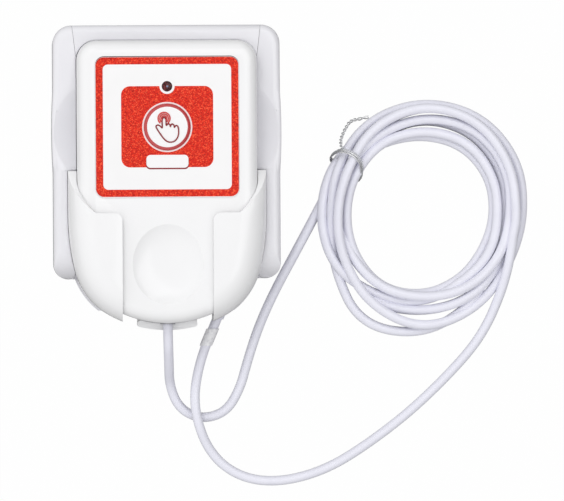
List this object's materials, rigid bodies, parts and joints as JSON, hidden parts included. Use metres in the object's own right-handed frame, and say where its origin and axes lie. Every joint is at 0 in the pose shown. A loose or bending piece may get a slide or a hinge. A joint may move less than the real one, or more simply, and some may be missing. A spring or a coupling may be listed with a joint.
{
  "type": "wireless call button",
  "caption": "Wall-mounted wireless call unit holding a corded hand unit with one round red push button in an open holster, its cord tied in a coil beside it.",
  "frame": {"origin": "on the wall unit's flat back, on its middle line, 50.4 mm below its top edge", "axes": "+Z out of the wall towards the user, +Y up to the unit's top, +X to the right as seen from the front"},
  "size_m": [0.1895, 0.1841, 0.0391],
  "materials": {
    "case": "gloss",
    "film": "gloss",
    "red_cap": "gloss",
    "clear": "clear",
    "cord": "satin",
    "tie": "satin",
    "board": "satin",
    "dark_plastic": "matt",
    "metal": "satin"
  },
  "bodies": {
    "unit": {"wall_plate": "case", "base_housing": "case", "wing_left": "case", "wing_right": "case", "holster": "case", "transmitter_board": "board", "radio_module": "metal", "cell_holder": "dark_plastic", "coin_cell": "metal", "antenna": "metal", "base_screws": "metal", "base_cord_gland": "cord", "cord_sleeve": "clear", "handset_front": "case", "handset_rear": "case", "label_film": "film", "switch_body": "dark_plastic", "handset_board": "board", "status_led": "clear", "light_pipe": "clear", "handset_screws": "metal", "cord_grommet": "cord", "handset_cord": "cord", "cord_coil": "cord", "base_cord": "cord", "wire_tie": "tie"},
    "call_button": {"call_button": "red_cap", "switch_plunger": "dark_plastic"}
  },
  "joints": [
    {"name": "call_button_press", "type": "slide", "parent": "unit", "child": "call_button", "axis": [0, 0, -1], "range_m": [0, 0.0006], "stiffness_N_per_m": 400, "springref_m": -0.0005}
  ]
}
